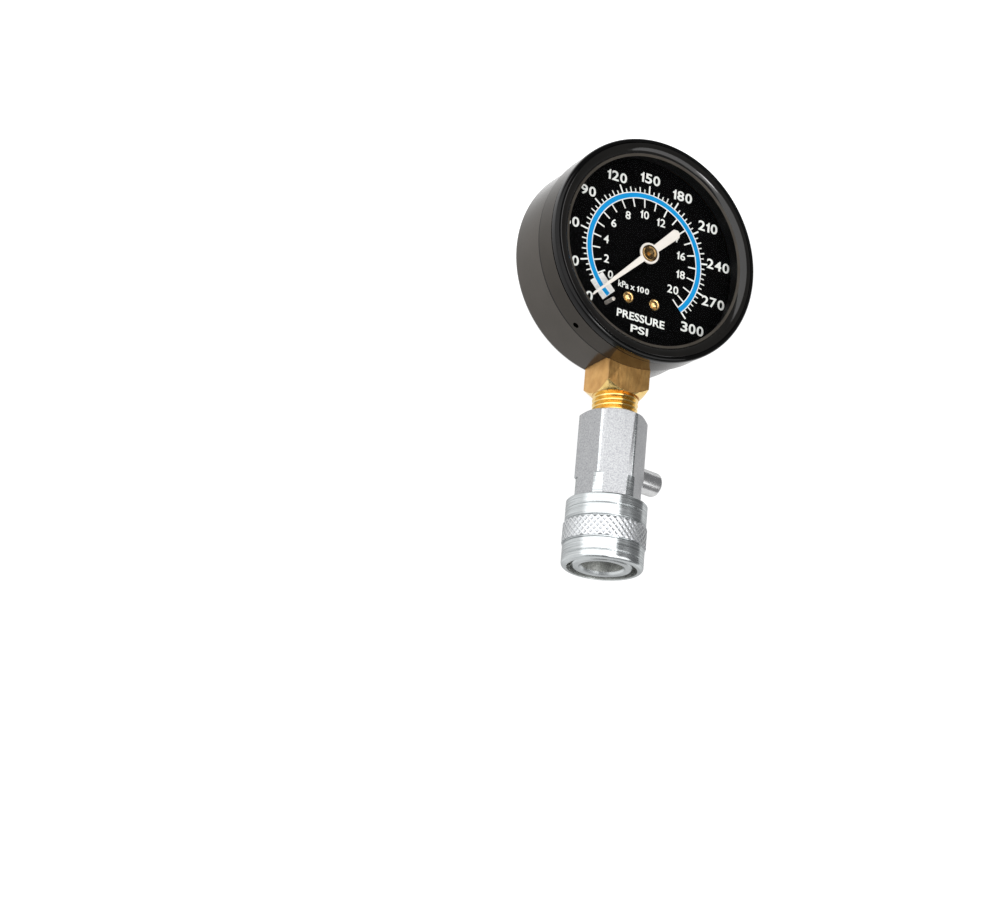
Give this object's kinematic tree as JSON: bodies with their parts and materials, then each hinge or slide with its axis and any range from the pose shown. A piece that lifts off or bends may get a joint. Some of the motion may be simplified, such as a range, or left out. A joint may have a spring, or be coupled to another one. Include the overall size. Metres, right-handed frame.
{
  "type": "compression tester gauge",
  "caption": "Round dial pressure gauge with a brass socket stem, a hexagonal quick coupler with a sliding knurled sleeve, and a side bleed button, for testing engine compression.",
  "frame": {"origin": "centre of the case's flat back", "axes": "+Z out of the dial, +Y towards the dial's 12 o'clock, so the stem and coupler run along -Y"},
  "size_m": [0.0688, 0.1291, 0.0297],
  "materials": {
    "case_paint": "satin black paint",
    "bezel_black": "gloss",
    "lens_clear": "clear polished",
    "ring_black": "matte",
    "dial_black": "satin, printed",
    "socket_brass": "turned and lacquered",
    "brass": "polished",
    "bronze": "drawn",
    "zinc_steel": "bright zinc plate",
    "steel": "bright",
    "rubber": "matte",
    "pointer_white": "satin white paint"
  },
  "bodies": {
    "gauge": {"case_cup": "case_paint", "case_band": "case_paint", "bezel": "bezel_black", "lens": "lens_clear", "lens_ring": "ring_black", "dial": "dial_black", "dial_screws": "brass", "stop_pin": "steel", "socket": "socket_brass", "socket_screws": "steel", "bourdon_tube": "bronze", "back_plate": "brass", "front_plate": "brass", "pillars": "brass", "movement_screws": "steel", "hairspring": "bronze", "coupler_body": "zinc_steel", "lock_balls": "steel", "snap_ring": "steel", "plug_seal": "rubber", "sleeve_spring": "steel", "bleed_spring": "steel"},
    "pointer_set": {"pointer": "pointer_white", "pointer_bush": "brass", "pinion_arbor": "brass"},
    "sector_set": {"sector_gear": "brass", "sector_arbor": "steel"},
    "link_bar": {"link": "steel"},
    "tube_end": {"tube_tip": "brass"},
    "sleeve_set": {"sleeve": "zinc_steel"},
    "bleed_set": {"bleed_button": "zinc_steel", "bleed_poppet": "brass", "bleed_seal": "rubber"}
  },
  "joints": [
    {"name": "tip_travel", "type": "slide", "parent": "gauge", "child": "tube_end", "axis": [1, 0, 0], "range_m": [0, 0.0029], "stiffness_N_per_m": 1000, "deforming": ["bourdon_tube"]},
    {"name": "sector_swing", "type": "hinge", "parent": "gauge", "child": "sector_set", "pos_m": [0.00675, -0.01169, 0.0105], "axis": [0, 0, 1], "range_deg": [0, 33.8]},
    {"name": "link_swing", "type": "hinge", "parent": "sector_set", "child": "link_bar", "pos_m": [0.0053, -0.01648, 0.0117], "axis": [0, 0, 1], "range_deg": [-33.8, 0]},
    {"name": "pointer_turn", "type": "hinge", "parent": "gauge", "child": "pointer_set", "pos_m": [0, 0, 0.0225], "axis": [0, 0, -1], "range_deg": [0, 270], "stiffness_Nm_per_rad": 0.0005, "deforming": ["hairspring"]},
    {"name": "sleeve_slide", "type": "slide", "parent": "gauge", "child": "sleeve_set", "axis": [0, 1, 0], "range_m": [0, 0.005], "stiffness_N_per_m": 1500, "deforming": ["sleeve_spring"]},
    {"name": "bleed_press", "type": "slide", "parent": "gauge", "child": "bleed_set", "axis": [-0.9826, 0, 0.1857], "range_m": [0, 0.0016], "stiffness_N_per_m": 1500, "deforming": ["bleed_spring"]}
  ],
  "couplings": [
    {"joint": "pointer_turn", "follows": "tip_travel", "rad_per_m": 1623.4},
    {"joint": "sector_swing", "follows": "tip_travel", "rad_per_m": 202.92},
    {"joint": "link_swing", "follows": "tip_travel", "rad_per_m": -202.92}
  ]
}
